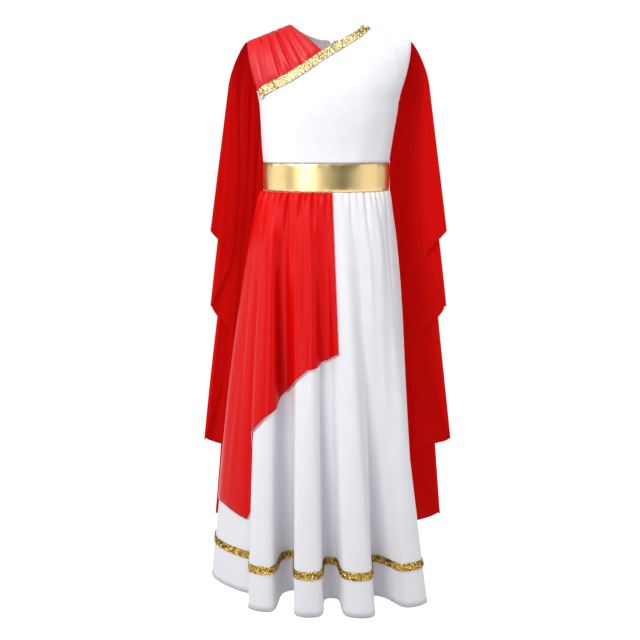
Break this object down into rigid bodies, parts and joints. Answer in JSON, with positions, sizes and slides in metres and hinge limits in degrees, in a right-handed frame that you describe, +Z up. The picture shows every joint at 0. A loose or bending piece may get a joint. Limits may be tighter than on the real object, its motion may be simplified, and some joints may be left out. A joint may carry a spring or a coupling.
{
  "type": "roman toga costume",
  "caption": "Worn, wearerless child's roman toga costume: white sleeveless dress, gathered red shoulder yoke and half overlay, gold waistband and trims, red shoulder capes.",
  "frame": {"origin": "midway between the two neck points, on the line where the wearer's shoulders carry the dress", "axes": "+Z up, from the hem to the shoulders; -Y out of the front; +X towards the wearer's left"},
  "size_m": [0.48, 0.3721, 0.9988],
  "materials": {
    "white_knit": "matt white polyester knit",
    "red_knit": "soft matt red polyester knit",
    "red_chiffon": "fine matt deep red chiffon",
    "gold_foil": "gold foil printed knit, bright and softly mirrored",
    "gold_sequin": "narrow gold sequin braid",
    "zip_metal": "white lacquered zip slider"
  },
  "bodies": {
    "dress": {"bodice_front": "white_knit", "bodice_back_left": "white_knit", "bodice_back_right": "white_knit", "shoulder_yoke": "red_knit", "neck_trim": "gold_sequin", "waistband_front": "gold_foil", "waistband_back_left": "gold_foil", "waistband_back_right": "gold_foil", "skirt_front": "white_knit", "skirt_back_left": "white_knit", "skirt_back_right": "white_knit", "hem_trim_front": "gold_sequin", "hem_trim_back_left": "gold_sequin", "hem_trim_back_right": "gold_sequin", "overlay": "red_knit", "cape_left": "red_chiffon", "cape_right": "red_chiffon", "zip_slider": "zip_metal"},
    "zip_tab": {"zip_pull": "zip_metal"}
  },
  "joints": [
    {"name": "zip_pull_hinge", "type": "hinge", "parent": "dress", "child": "zip_tab", "pos_m": [0.00493, 0.06793, -0.03228], "axis": [1, 0, 0], "range_deg": [0, 150]}
  ]
}
